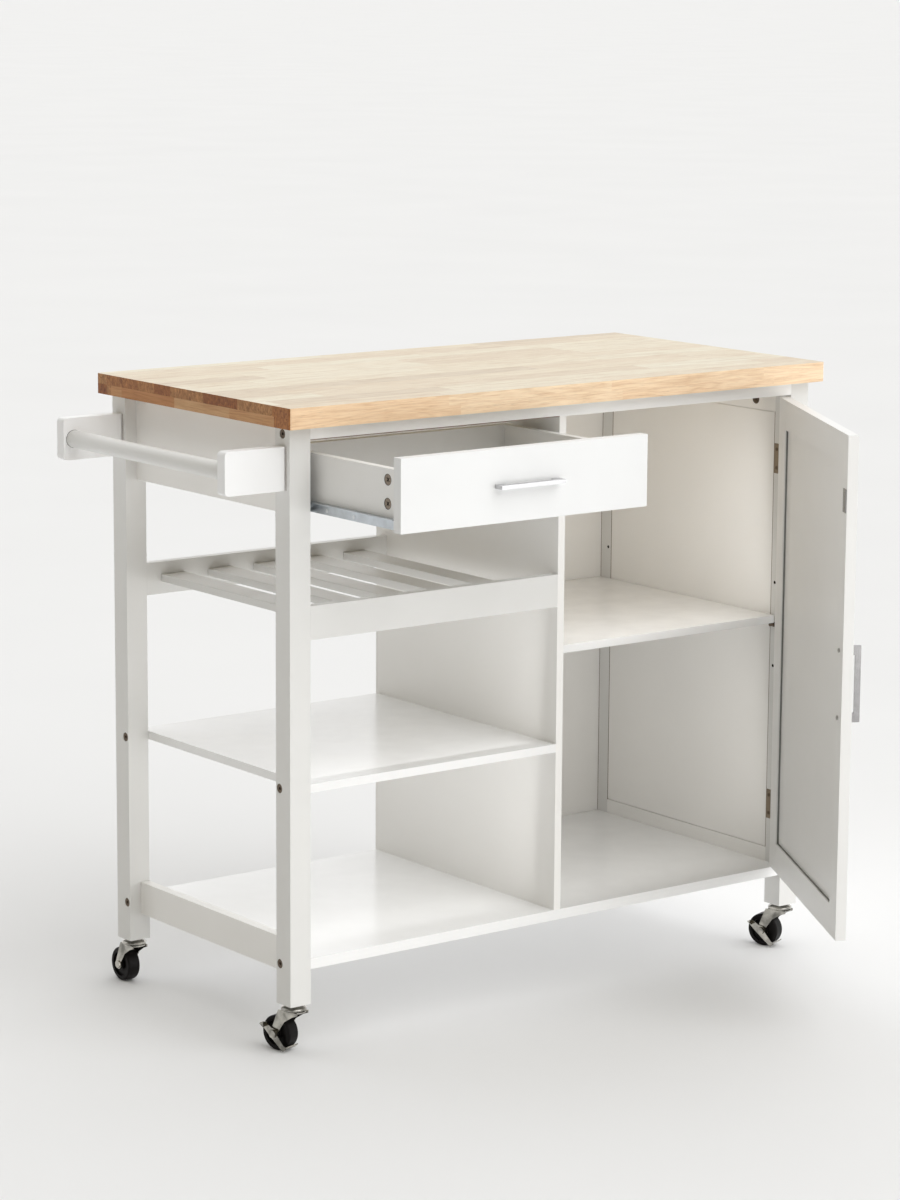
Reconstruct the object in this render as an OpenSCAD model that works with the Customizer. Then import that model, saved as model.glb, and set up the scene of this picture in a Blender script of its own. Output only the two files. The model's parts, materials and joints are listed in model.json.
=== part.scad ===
// Kitchen island cart: a white frame under a wooden worktop, with a drawer over an open bay,
// a slatted rack, a shelf, a cupboard with one hinged door, a towel bar and four casters.
// Millimetres. X runs from the left end to the right, Y from the front to the back, Z up.
// Part coordinates start at the worktop's front left corner and at the floor; place() then
// moves everything so that the origin is the middle of the bounding box, at floor level.

/* [Worktop] */
// Length of the worktop, from its left end to its right end
top_length = 966; // [950:2:1000]
// Depth of the worktop, from front to back
top_depth = 488; // [484:2:500]
// Thickness of the worktop
top_thickness = 29; // [25:1:32]
// Height of the worktop's upper face above the floor
total_height = 905; // [900:1:912]
// How far the worktop stands out past the legs at each end
end_overhang = 13; // [8:1:20]
// How far the worktop stands out past the legs at the front and the back
face_overhang = 20; // [16:1:24]

/* [Frame] */
// Side of the square legs
leg_size = 34; // [33:1:36]
// Thickness of the side rails and the aprons
rail_thickness = 15; // [14:1:16]
// Height of the two rails under the worktop
top_rail_height = 19; // [18:1:22]
// Height of the lower side rails
side_rail_height = 48; // [44:1:52]
// Height of the apron at the left end and behind the drawer
apron_height = 122; // [118:1:126]
// Thickness of the right side panel
side_panel_thickness = 12; // [10:1:14]
// Thickness of the upright divider
divider_thickness = 12; // [12:1:14]
// Thickness of the cupboard's back panel
back_panel_thickness = 3; // [3:1:5]
// Distance from the back of the legs to the back edge of the shelves
shelf_back_inset = 10; // [8:1:12]
// Width of the shadow gap around the cupboard's side panel
seam = 1.2; // [0:0.2:1.4]

/* [Shelves and rack] */
// Height of the bottom shelf's upper face
bottom_shelf_top = 135; // [132:1:140]
// Thickness of the bottom shelf
bottom_shelf_thickness = 15; // [14:1:18]
// Height of the left shelf's upper face
left_shelf_top = 382; // [366:1:404]
// Thickness of the left shelf
left_shelf_thickness = 12; // [12:1:16]
// Height of the rack rails' upper edge
rack_top = 630; // [606:1:644]
// Height of each rack rail
rack_rail_height = 47; // [40:1:50]
// Number of slats in the rack
slat_count = 5; // [4:1:5]
// Width of one slat
slat_width = 40; // [36:1:44]
// Distance from one slat to the next
slat_pitch = 81; // [78:1:82]
// Thickness of one slat
slat_thickness = 11; // [9:1:12]
// Height of the middle row of shelf pin holes
pin_row = 505; // [486:1:524]
// Distance between rows of shelf pin holes
pin_row_pitch = 64; // [64:32:96]
// Thickness of the cupboard shelf
cupboard_shelf_thickness = 12; // [12:1:16]

/* [Drawer] */
// Height of the drawer front
drawer_front_height = 100; // [96:1:101]
// Thickness of the drawer front
drawer_front_thickness = 16; // [15:1:18]
// Gap on each side of the drawer front
drawer_front_gap = 5; // [3:1:6]
// Thickness of the drawer's sides and back
drawer_board = 12; // [12:1:13]
// Length of the drawer's sides
drawer_length = 290; // [280:2:300]
// Height of the drawer's sides
drawer_side_height = 79; // [74:1:82]
// How far the drawer stands open
drawer_out = 199; // [0:1:225]

/* [Door] */
// Thickness of the door's frame
door_thickness = 15; // [15:1:18]
// Width of the door's stiles
door_stile = 40; // [38:1:50]
// Height of the door's rails
door_rail_height = 44; // [38:1:50]
// Thickness of the door's panel
door_panel_thickness = 5; // [4:1:6]
// How far the door stands open, in degrees
door_open = 60.6; // [0:0.1:118]

/* [Towel bar] */
// Diameter of the towel bar
bar_diameter = 25; // [22:1:28]
// How far the brackets stand out from the legs
bracket_reach = 98; // [90:1:110]
// Height of a bracket
bracket_height = 60; // [54:1:66]
// Thickness of a bracket
bracket_thickness = 18; // [16:1:20]
// Height of the bar's centre above the floor
bar_height = 820; // [806:1:826]

/* [Casters] */
// Height of a caster, from the floor to the leg
caster_height = 70; // [69:1:74]
// Diameter of a wheel
wheel_diameter = 50; // [48:1:50]
// Width of a wheel
wheel_width = 20; // [18:1:21]
// Distance from the swivel to the wheel's axle
caster_trail = 24; // [22:1:25]

/* [Hidden] */
$fn = 48;

paint = [0.93, 0.93, 0.92];
wood = [0.87, 0.72, 0.52];
zinc = [0.72, 0.73, 0.74];
bronze = [0.24, 0.19, 0.15];
black = [0.06, 0.06, 0.06];
cut = 1; // how far a cutter runs past the face that it cuts

// Frame planes
frame_left = end_overhang;
frame_right = top_length - end_overhang;
frame_front = face_overhang;
frame_back = top_depth - face_overhang;
bay_left = frame_left + leg_size;
bay_right = frame_right - leg_size;
back_leg_front = frame_back - leg_size;
front_leg_back = frame_front + leg_size;
under_top = total_height - top_thickness;
rail_bottom = under_top - top_rail_height;
divider_left = (top_length - divider_thickness) / 2;
divider_right = divider_left + divider_thickness;
shelf_back = frame_back - shelf_back_inset;
back_gap = 0.6; // dark line along the back panel
lower_rail_bottom = bottom_shelf_top - 26;
lower_rail_top = lower_rail_bottom + side_rail_height;
apron_bottom = under_top - apron_height;
top_corner = 3;
seam_depth = 1.5; // how deep the shadow gap is

// Frame bolts: [end (0 left, 1 right), y, z]
bolt_head = 13;
bolt_head_thick = 2.6;
bolt_recess = 0.8;
bolt_shank = 6;
bolt_length = 62;
bolt_hole_gap = 0.3;
rail_bolt_y = frame_front + leg_size / 2;
shelf_bolt_inset = 46;
rail_bolt_z = under_top - top_rail_height / 2;
left_shelf_bolt_z = left_shelf_top - left_shelf_thickness / 2;
bottom_bolt_z = bottom_shelf_top - bottom_shelf_thickness / 2;
shelf_bolt_ys = [shelf_bolt_inset, top_depth - shelf_bolt_inset];
rail_bolts = [for (end = [0, 1]) [end, rail_bolt_y, rail_bolt_z]];
left_shelf_bolts = [for (y = shelf_bolt_ys) [0, y, left_shelf_bolt_z]];
bottom_bolts = [for (end = [0, 1], y = shelf_bolt_ys) [end, y, bottom_bolt_z]];
all_bolts = concat(rail_bolts, left_shelf_bolts, bottom_bolts);

// Shelf pins and their holes
pin_diameter = 5;
pin_in = 8;
pin_out = 8;
pin_collar = 8;
pin_collar_thick = 0.8;
pin_front_y = frame_front + 27;
pin_back_y = top_depth - pin_front_y;
pin_rows = [pin_row - pin_row_pitch, pin_row, pin_row + pin_row_pitch];
cupboard_shelf_bottom = pin_row + pin_diameter / 2;
cupboard_shelf_front = frame_front + 25;

// Rack slats
slat_bottom = rack_top - 29;
slat_start = bay_left + 25;
slat_tenon = 7.5;
slat_gap = 0.15;

// Side cam locks
cam_diameter = 15;
cam_depth = 9.5;
side_cam_y = frame_front + 78;
side_cam_z = under_top - 33;

// Drawer, in its closed place; on_drawer() pulls it out
drawer_top = rail_bottom - 2;
drawer_front_bottom = drawer_top - drawer_front_height;
drawer_front_left = bay_left + drawer_front_gap;
drawer_front_right = divider_left - drawer_front_gap;
drawer_front_back = frame_front + drawer_front_thickness;
box_left = bay_left + 13;
box_right = divider_left - 13;
box_bottom = drawer_front_bottom + 3;
box_top = box_bottom + drawer_side_height;
box_back = drawer_front_back + drawer_length;
box_groove = 6;
box_groove_z = box_bottom + 7;
bottom_board = 4;
groove_gap = 0.15;
drawer_middle = (drawer_front_left + drawer_front_right) / 2;
cam_setback = 24;
cam_zs = [box_bottom + 32, box_bottom + 64];
cam_bolt = 6;
cam_bolt_reach = 11;

// Drawer runners: the left one is drawn and the right one is its mirror image
runner_steel = 1.2;
runner_bottom = box_bottom - runner_steel;
runner_height = 18.2;
runner_reach = 10.4;
runner_front = drawer_front_back + 2;
runner_length = 300;
roller_width = 6.4;
front_roller_radius = 5.8;
rear_roller_radius = 6.8;
roller_bore = 2.05;
roller_pin = 2;
roller_gap = 0.3;
front_roller_y = runner_front + 10;
rear_roller_y = box_back - 9;
rear_roller_z = runner_bottom + runner_steel + rear_roller_radius + roller_gap;
lip_top = runner_bottom + 15.2;
front_roller_z = lip_top - runner_steel - front_roller_radius - roller_gap;
lip_reach = 8.2;
lip_end = rear_roller_y - rear_roller_radius - 4;
web_top = runner_bottom + 15.2;
runner_screw_ys = [front_roller_y + 22, front_roller_y + 152, front_roller_y + 262];
member_screw_ys = [134.5, 197, 260];
member_screw_z = runner_bottom + 5.7;

// Door, in its closed place; on_door() swings it
door_left = divider_right + 3;
door_right = bay_right - 4;
door_bottom = bottom_shelf_top + 2;
door_top = rail_bottom - 2.5;
door_back = frame_front + door_thickness;
door_recess = 4.5;
panel_groove = 8;
panel_gap = 0.2;

// Hinges
hinge_height = 45;
hinge_zs = [door_bottom + 89, door_top - 96.5];
leaf_thick = 1.2;
knuckle_radius = 3;
knuckle_count = 5;
knuckle_gap = 0.2;
knuckle_step = hinge_height / knuckle_count;
hinge_pin_radius = 1.5;
hinge_bore_radius = 1.56;
pin_x = bay_right - 2;
pin_y = frame_front - 3.2;
frame_leaf_width = 36;
door_leaf_width = 17;
leaf_screw_rise = 14;
frame_leaf_screw_y = frame_front + 27;
door_leaf_screw_y = frame_front + 8;
screw_head = 2.6;
screw_head_thick = 0.6;
screw_shank = 1.5;

// Handles
handle_length = 109;
handle_width = 5.6;
handle_thick = 8;
handle_reach = 15.5;
handle_post = 13;
handle_screw = 3;
handle_screw_in = 7.5;
door_handle_x = door_left + door_stile / 2;
door_handle_z = (door_bottom + door_top) / 2 + 6.5;

// Magnetic catch and its strike plate
catch_height = 33;
catch_z = caster_height + 692.5;
catch_depth = 18.4;
catch_width = 16;
strike_width = 16;
strike_height = 33;
strike_thick = 1.2;
strike_screw_rise = 11;
strike_left = door_left + 3;

// Towel bar
bar_x = frame_left - bracket_reach + 17;
bracket_bottom = bar_height - bracket_height / 2;
bracket_corner = 6;
bracket_chamfer = 2.5;
bracket_front_y = frame_front + 9;
bracket_back_y = top_depth - bracket_front_y - bracket_thickness;
bar_socket = 10;
bar_socket_gap = 0.2;

// Casters, in local coordinates: swivel on Z, wheel behind it along +X, axle along Y
swivel_x = [frame_left + leg_size / 2, frame_right - leg_size / 2];
swivel_y = [frame_front + leg_size / 2, frame_back - leg_size / 2];
yaw_fl = 105;
yaw_fr = 110;
yaw_bl = 90;
yaw_br = 97;
wheel_radius = wheel_diameter / 2;
axle_radius = 3;
axle_bore = 3.06;
king_radius = 4;
king_bore = 4.06;
fork_steel = 1.8;
fork_inner = wheel_width / 2 + 1.2;
fork_outer = fork_inner + fork_steel;
fork_top = caster_height - 9.4;
race_radius = 18;
brake_steel = 1.4;
brake_inner = fork_outer + 1;
brake_outer = brake_inner + brake_steel;
brake_toe = [17, 12];
brake_shoe = [-20.5, -19.5];
brake_tab = 8;
brake_shoe_width = 6;
stem_insert = 28;

// The whole cart's box, for the origin
function swung_y(x, y) = pin_y + (x - pin_x) * sin(door_open) + (y - pin_y) * cos(door_open);
handle_front = frame_front - handle_reach;
box_low_y = min(
    handle_front - drawer_out,
    swung_y(door_left, frame_front),
    swung_y(door_handle_x - handle_width / 2, handle_front),
    swung_y(door_handle_x + handle_width / 2, handle_front)
);
tread_round = 3;
function wheel_reach(yaw) =
    (caster_trail + wheel_radius - tread_round) * sin(yaw)
    + (wheel_width / 2 - tread_round) * abs(cos(yaw)) + tread_round;
box_high_y = max(top_depth, swivel_y[1] + max(wheel_reach(yaw_bl), wheel_reach(yaw_br)));
origin_x = (frame_left - bracket_reach + top_length) / 2;
origin_y = (min(box_low_y, 0) + box_high_y) / 2;

module place() {
    translate([-origin_x, -origin_y, 0]) children();
}

module on_drawer() {
    translate([0, -drawer_out, 0]) children();
}

module on_door() {
    translate([pin_x, pin_y, 0])
        rotate([0, 0, door_open])
            translate([-pin_x, -pin_y, 0]) children();
}

// A box from its lowest corner to its highest corner
module block(low, high) {
    translate(low) cube(high - low);
}

module rod_x(radius, length) {
    rotate([0, 90, 0]) cylinder(r = radius, h = length);
}

module rod_y(radius, length) {
    rotate([-90, 0, 0]) cylinder(r = radius, h = length);
}

module rod_y_at(y, radius, length) {
    translate([0, y, 0]) rod_y(radius, length);
}

// A rectangle with round corners
module soft_rect(width, depth, radius) {
    translate([radius, 0]) square([width - 2 * radius, depth]);
    translate([0, radius]) square([width, depth - 2 * radius]);
    for (x = [radius, width - radius], y = [radius, depth - radius])
        translate([x, y]) circle(r = radius);
}

// ---- Frame bolts ----

// Moves a bolt drawn along +Z to the outer face of a leg, pointing into the frame
module at_bolt(spot) {
    left = spot[0] == 0;
    translate([left ? frame_left : frame_right, spot[1], spot[2]])
        rotate([0, left ? 90 : -90, 0]) children();
}

module bolt_cuts(spots) {
    for (spot = spots) at_bolt(spot) {
        translate([0, 0, -cut])
            cylinder(d = bolt_head + bolt_hole_gap, h = cut + bolt_recess + bolt_head_thick);
        cylinder(d = bolt_shank + bolt_hole_gap, h = bolt_recess + bolt_length + cut);
    }
}

module frame_bolts() {
    color(bronze)
        for (spot = all_bolts) at_bolt(spot) translate([0, 0, bolt_recess])
            difference() {
                union() {
                    cylinder(d = bolt_head, h = bolt_head_thick);
                    cylinder(d = bolt_shank, h = bolt_length);
                }
                translate([0, 0, -cut]) cylinder(d = 5, h = cut + 2, $fn = 6);
            }
}

// ---- Shelf pins ----

module pin_holes(x, direction) {
    for (y = [pin_front_y, pin_back_y], z = pin_rows)
        translate([x, y, z]) rotate([0, 90 * direction, 0]) translate([0, 0, -cut])
            cylinder(d = pin_diameter + 0.2, h = pin_in + 1 + cut);
}

module shelf_pin(x, y, direction) {
    translate([x, y, pin_row]) rotate([0, 90 * direction, 0]) {
        translate([0, 0, -pin_in]) cylinder(d = pin_diameter, h = pin_in + pin_out);
        cylinder(d = pin_collar, h = pin_collar_thick);
    }
}

module shelf_pins() {
    color(zinc)
        for (y = [pin_front_y, pin_back_y]) {
            shelf_pin(bay_right, y, -1);
            shelf_pin(divider_right, y, 1);
        }
}

// ---- Legs, rails and panels ----

module leg_blank(column, row) {
    x = column == 0 ? frame_left : bay_right;
    y = row == 0 ? frame_front : back_leg_front;
    difference() {
        block([x, y, caster_height], [x + leg_size, y + leg_size, under_top]);
        bolt_cuts(all_bolts);
        translate([swivel_x[column], swivel_y[row], caster_height - cut])
            cylinder(r = king_radius + 0.1, h = stem_insert + 2 + cut);
        if (column == 1) pin_holes(bay_right, 1);
        if (column == 1 && row == 0) hinge_screw_pilots();
    }
}

module leg_front_left() {
    color(paint) leg_blank(0, 0);
}

module leg_front_right() {
    color(paint) leg_blank(1, 0);
}

module leg_back_left() {
    color(paint) leg_blank(0, 1);
}

module leg_back_right() {
    color(paint) leg_blank(1, 1);
}

module top_rail_front() {
    color(paint) difference() {
        block([bay_left, frame_front, rail_bottom], [bay_right, front_leg_back, under_top]);
        bolt_cuts(rail_bolts);
    }
}

module top_rail_back() {
    color(paint)
        block([bay_left, back_leg_front, rail_bottom], [bay_right, frame_back, under_top]);
}

module side_apron_left() {
    color(paint) difference() {
        block(
            [bay_left - rail_thickness, front_leg_back, apron_bottom],
            [bay_left, back_leg_front, under_top]
        );
        runner_screw_pilots();
    }
}

module lower_rail_left() {
    color(paint) block(
        [bay_left - rail_thickness, front_leg_back, lower_rail_bottom],
        [bay_left, back_leg_front, lower_rail_top]
    );
}

module upper_rail_right() {
    color(paint) difference() {
        block(
            [bay_right, front_leg_back, under_top - side_rail_height],
            [bay_right + rail_thickness, back_leg_front, under_top]
        );
        side_cams(0.2);
    }
}

module lower_rail_right() {
    color(paint) block(
        [bay_right, front_leg_back, lower_rail_bottom],
        [bay_right + rail_thickness, back_leg_front, lower_rail_top]
    );
}

module side_panel_right() {
    high = under_top - side_rail_height;
    color(paint) {
        block(
            [bay_right, front_leg_back + seam, lower_rail_top + seam],
            [bay_right + side_panel_thickness, back_leg_front - seam, high - seam]
        );
        block(
            [bay_right + seam_depth, front_leg_back, lower_rail_top],
            [bay_right + side_panel_thickness, back_leg_front, high]
        );
    }
}

module back_apron() {
    color(paint) block(
        [bay_left, back_leg_front, apron_bottom],
        [divider_left, back_leg_front + rail_thickness, rail_bottom]
    );
}

module divider() {
    color(paint) difference() {
        block([divider_left, frame_front, bottom_shelf_top], [divider_right, shelf_back, rail_bottom]);
        pin_holes(divider_right, -1);
        mirrored_runner() runner_screw_pilots();
    }
}

module back_panel() {
    color(paint) block(
        [divider_left, shelf_back + back_gap, bottom_shelf_top - bottom_shelf_thickness],
        [bay_right, shelf_back + back_gap + back_panel_thickness, rail_bottom]
    );
}

// ---- Shelves and rack ----

module bottom_shelf() {
    color(paint) difference() {
        block(
            [bay_left, frame_front, bottom_shelf_top - bottom_shelf_thickness],
            [bay_right, shelf_back, bottom_shelf_top]
        );
        bolt_cuts(bottom_bolts);
    }
}

module left_shelf() {
    color(paint) difference() {
        block(
            [bay_left, frame_front, left_shelf_top - left_shelf_thickness],
            [divider_left, shelf_back, left_shelf_top]
        );
        bolt_cuts(left_shelf_bolts);
    }
}

module cupboard_shelf() {
    side_gap = 1;
    color(paint) block(
        [divider_right + side_gap, cupboard_shelf_front, cupboard_shelf_bottom],
        [bay_right - side_gap, shelf_back - 1, cupboard_shelf_bottom + cupboard_shelf_thickness]
    );
}

module slats(gap) {
    for (i = [0 : slat_count - 1]) {
        x = slat_start + i * slat_pitch;
        block(
            [x - gap, frame_front + rail_thickness - slat_tenon - gap, slat_bottom - gap],
            [x + slat_width + gap, back_leg_front + slat_tenon + gap,
                slat_bottom + slat_thickness + gap]
        );
    }
}

module rack_slats() {
    color(paint) slats(0);
}

module rack_rail_front() {
    color(paint) difference() {
        block(
            [bay_left, frame_front, rack_top - rack_rail_height],
            [divider_left, frame_front + rail_thickness, rack_top]
        );
        slats(slat_gap);
    }
}

module rack_rail_back() {
    color(paint) difference() {
        block(
            [bay_left, back_leg_front, rack_top - rack_rail_height],
            [divider_left, back_leg_front + rail_thickness, rack_top]
        );
        slats(slat_gap);
    }
}

// ---- Worktop ----

module worktop() {
    color(wood) translate([0, 0, under_top])
        linear_extrude(top_thickness) soft_rect(top_length, top_depth, top_corner);
}

// ---- Fixings that stay with the frame ----

// A cam lock drawn along +Z, with its face at zero and its body below
module cam_lock() {
    slot = 1.6;
    difference() {
        translate([0, 0, -cam_depth]) cylinder(d = cam_diameter, h = cam_depth - 0.3);
        for (turn = [0, 90])
            rotate([0, 0, turn + 45]) translate([-4, -slot / 2, -2]) cube([8, slot, 3]);
    }
}

module side_cams(gap) {
    for (y = [side_cam_y, top_depth - side_cam_y])
        translate([bay_right - cut, y, side_cam_z])
            rod_x(cam_diameter / 2 + gap, cam_depth + cut + gap);
}

// A screw drawn along +Z: its head above zero and its shank below
module small_screw(length) {
    difference() {
        cylinder(r = screw_head, h = screw_head_thick);
        translate([0, 0, 0.3]) cylinder(r = 1.2, h = 1, $fn = 6);
    }
    translate([0, 0, -length]) cylinder(r = screw_shank, h = length);
}

module hinge_screw_pilots() {
    for (z = hinge_zs, rise = [-leaf_screw_rise, leaf_screw_rise])
        translate([bay_right - cut, frame_leaf_screw_y, z + rise])
            rod_x(screw_shank + 0.1, 12 + cut);
}

module runner_screw_pilots() {
    for (y = runner_screw_ys)
        translate([bay_left - 9, y, runner_bottom + runner_height / 2])
            rod_x(screw_shank + 0.1, 9 + cut);
}

module runner_screws() {
    for (y = runner_screw_ys)
        translate([bay_left + runner_steel, y, runner_bottom + runner_height / 2])
            rotate([0, 90, 0]) small_screw(9);
}

module carcass_fixings() {
    color(bronze) {
        for (y = [side_cam_y, top_depth - side_cam_y])
            translate([bay_right, y, side_cam_z]) rotate([0, -90, 0]) cam_lock();
        for (z = hinge_zs, rise = [-leaf_screw_rise, leaf_screw_rise])
            translate([bay_right - leaf_thick, frame_leaf_screw_y, z + rise])
                rotate([0, -90, 0]) small_screw(12);
        runner_screws();
        mirrored_runner() runner_screws();
    }
}

// ---- Drawer ----

module box_floor(gap) {
    block(
        [box_left + drawer_board - box_groove - gap, drawer_front_back - box_groove, box_groove_z - gap],
        [box_right - drawer_board + box_groove + gap, box_back - drawer_board + box_groove,
            box_groove_z + bottom_board + gap]
    );
}

// Cylinders for the cam locks and their bolts, used as cutters
module cam_cuts() {
    gap = 0.2;
    for (z = cam_zs) {
        translate([box_left - cut, drawer_front_back + cam_setback, z])
            rod_x(cam_diameter / 2 + gap, cam_depth + cut + gap);
        translate([box_left + drawer_board / 2, drawer_front_back - cam_bolt_reach, z])
            rod_y(cam_bolt / 2 + gap, cam_bolt_reach + cam_setback);
    }
}

module drawer_mirror() {
    translate([2 * drawer_middle, 0, 0]) mirror([1, 0, 0]) children();
}

module drawer_front() {
    color(paint) on_drawer() difference() {
        block(
            [drawer_front_left, frame_front, drawer_front_bottom],
            [drawer_front_right, drawer_front_back, drawer_top]
        );
        box_floor(groove_gap);
        cam_cuts();
        drawer_mirror() cam_cuts();
        for (side = [-1, 1])
            translate([drawer_middle + side * (handle_length - handle_post) / 2,
                    frame_front - cut, drawer_top - drawer_front_height / 2])
                rod_y(handle_screw / 2 + 0.2, drawer_front_thickness + 2 * cut);
    }
}

module side_blank() {
    difference() {
        block([box_left, drawer_front_back, box_bottom], [box_left + drawer_board, box_back, box_top]);
        box_floor(groove_gap);
        cam_cuts();
        member_screw_pilots();
    }
}

module drawer_side_left() {
    color(paint) on_drawer() side_blank();
}

module drawer_side_right() {
    color(paint) on_drawer() drawer_mirror() side_blank();
}

module drawer_back() {
    color(paint) on_drawer() difference() {
        block(
            [box_left + drawer_board, box_back - drawer_board, box_bottom],
            [box_right - drawer_board, box_back, box_top]
        );
        box_floor(groove_gap);
    }
}

module drawer_bottom() {
    color(paint) on_drawer() box_floor(0);
}

module drawer_fixing_set() {
    for (z = cam_zs) {
        difference() {
            translate([box_left, drawer_front_back + cam_setback, z])
                rotate([0, -90, 0]) cam_lock();
            translate([box_left + drawer_board / 2, drawer_front_back, z])
                rod_y(cam_bolt / 2 + 0.1, cam_setback);
        }
        translate([box_left + drawer_board / 2, drawer_front_back - cam_bolt_reach + 0.5, z])
            rod_y(cam_bolt / 2, cam_bolt_reach + cam_setback - 2);
    }
    for (y = member_screw_ys)
        translate([box_left - runner_steel, y, member_screw_z])
            rotate([0, -90, 0]) small_screw(10);
}

module drawer_fixings() {
    color(bronze) on_drawer() {
        drawer_fixing_set();
        drawer_mirror() drawer_fixing_set();
        at_drawer_handle() handle_screws(drawer_front_thickness);
    }
}

// ---- Drawer runners ----

module mirrored_runner() {
    translate([bay_left + divider_left, 0, 0]) mirror([1, 0, 0]) children();
}

// The channel on the cabinet's side, with the pin of its front roller
module cabinet_runner() {
    difference() {
        block(
            [bay_left, runner_front, runner_bottom],
            [bay_left + runner_reach, runner_front + runner_length, runner_bottom + runner_height]
        );
        block(
            [bay_left + runner_steel, runner_front - cut, runner_bottom + runner_steel],
            [bay_left + runner_reach + cut, runner_front + runner_length + cut,
                runner_bottom + runner_height - runner_steel]
        );
        for (y = runner_screw_ys)
            translate([bay_left - cut, y, runner_bottom + runner_height / 2])
                rod_x(screw_shank + 0.1, runner_steel + 2 * cut);
    }
    translate([bay_left + runner_steel / 2, front_roller_y, front_roller_z])
        rod_x(roller_pin, runner_reach - runner_steel);
}

module cabinet_runners() {
    color(zinc) {
        cabinet_runner();
        mirrored_runner() cabinet_runner();
    }
}

module member_screw_pilots() {
    for (y = member_screw_ys)
        translate([box_left - cut, y, member_screw_z]) rod_x(screw_shank + 0.1, 10 + cut);
}

// The angle on the drawer's side, with its lip and the pin of its rear roller
module drawer_member() {
    difference() {
        union() {
            block(
                [box_left - runner_steel, drawer_front_back + 1, runner_bottom],
                [box_left, box_back, web_top]
            );
            block(
                [box_left - runner_steel, drawer_front_back + 1, runner_bottom],
                [box_left + drawer_board, box_back, box_bottom]
            );
            block(
                [box_left - runner_steel - lip_reach, drawer_front_back + 1, lip_top - runner_steel],
                [box_left, lip_end, lip_top]
            );
        }
        for (y = member_screw_ys)
            translate([box_left - runner_steel - cut, y, member_screw_z])
                rod_x(screw_shank + 0.1, runner_steel + cut + 0.01);
    }
    translate([box_left - runner_steel / 2 - 8.4, rear_roller_y, rear_roller_z])
        rod_x(roller_pin, 8.4);
}

module drawer_runners() {
    color(zinc) on_drawer() {
        drawer_member();
        mirrored_runner() drawer_member();
    }
}

module roller(radius) {
    difference() {
        rod_x(radius, roller_width);
        translate([-cut, 0, 0]) rod_x(roller_bore, roller_width + 2 * cut);
    }
}

module front_roller() {
    translate([bay_left + runner_steel + 1.2, front_roller_y, front_roller_z])
        roller(front_roller_radius);
}

module front_rollers() {
    color("white") {
        front_roller();
        mirrored_runner() front_roller();
    }
}

module rear_roller() {
    translate([box_left - runner_steel - roller_width - 1.2, rear_roller_y, rear_roller_z])
        roller(rear_roller_radius);
}

module rear_rollers() {
    color("white") on_drawer() {
        rear_roller();
        mirrored_runner() rear_roller();
    }
}

// ---- Handles ----

// A flat bow handle on the XZ plane, along X, with its feet at y = 0
module bow_handle() {
    post_x = (handle_length - handle_post) / 2;
    difference() {
        block(
            [-handle_length / 2, -handle_reach, -handle_width / 2],
            [handle_length / 2, 0, handle_width / 2]
        );
        block(
            [-handle_length / 2 + handle_post, -handle_reach + handle_thick, -handle_width],
            [handle_length / 2 - handle_post, cut, handle_width]
        );
        for (side = [-1, 1])
            translate([side * post_x, -handle_screw_in - 1, 0])
                rod_y(handle_screw / 2 + 0.1, handle_screw_in + 1 + cut);
    }
}

// The two screws that hold a handle, put in from behind the board
module handle_screws(board) {
    head = 3;
    head_thick = 2.2;
    for (side = [-1, 1]) translate([side * (handle_length - handle_post) / 2, 0, 0]) {
        translate([0, -handle_screw_in, 0]) rod_y(handle_screw / 2, board + handle_screw_in + 0.5);
        translate([0, board, 0]) difference() {
            rod_y(head, head_thick);
            translate([0, 1.2, 0]) rod_y(1.3, head_thick, $fn = 6);
        }
    }
}

module at_drawer_handle() {
    translate([drawer_middle, frame_front, drawer_top - drawer_front_height / 2]) children();
}

module at_door_handle() {
    translate([door_handle_x, frame_front, door_handle_z]) rotate([0, 90, 0]) children();
}

module drawer_handle() {
    color(zinc) on_drawer() at_drawer_handle() bow_handle();
}

module door_handle() {
    color(zinc) on_door() at_door_handle() bow_handle();
}

// ---- Door ----

module panel_slab(gap) {
    block(
        [door_left + door_stile - panel_groove - gap, door_back - door_recess - door_panel_thickness - gap,
            door_bottom + door_rail_height - panel_groove - gap],
        [door_right - door_stile + panel_groove + gap, door_back - door_recess + gap,
            door_top - door_rail_height + panel_groove + gap]
    );
}

module door_panel() {
    color(paint) on_door() panel_slab(0);
}

module door_stile_hinge() {
    color(paint) on_door() difference() {
        block([door_right - door_stile, frame_front, door_bottom], [door_right, door_back, door_top]);
        panel_slab(panel_gap);
        for (z = hinge_zs, rise = [-leaf_screw_rise, leaf_screw_rise])
            translate([door_right - 12, door_leaf_screw_y, z + rise])
                rod_x(screw_shank + 0.1, 12 + cut);
    }
}

module door_stile_handle() {
    color(paint) on_door() difference() {
        block([door_left, frame_front, door_bottom], [door_left + door_stile, door_back, door_top]);
        panel_slab(panel_gap);
        for (side = [-1, 1])
            translate([door_handle_x, frame_front - cut,
                    door_handle_z + side * (handle_length - handle_post) / 2])
                rod_y(handle_screw / 2 + 0.2, door_thickness + 2 * cut);
        for (rise = [-strike_screw_rise, strike_screw_rise])
            translate([strike_left + strike_width / 2, door_back - 9, catch_z + rise])
                rod_y(screw_shank + 0.1, 9 + cut);
    }
}

module door_rail(z) {
    color(paint) on_door() difference() {
        block(
            [door_left + door_stile, frame_front, z],
            [door_right - door_stile, door_back, z + door_rail_height]
        );
        panel_slab(panel_gap);
    }
}

module door_rail_top() {
    door_rail(door_top - door_rail_height);
}

module door_rail_bottom() {
    door_rail(door_bottom);
}

// ---- Hinges ----

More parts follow.
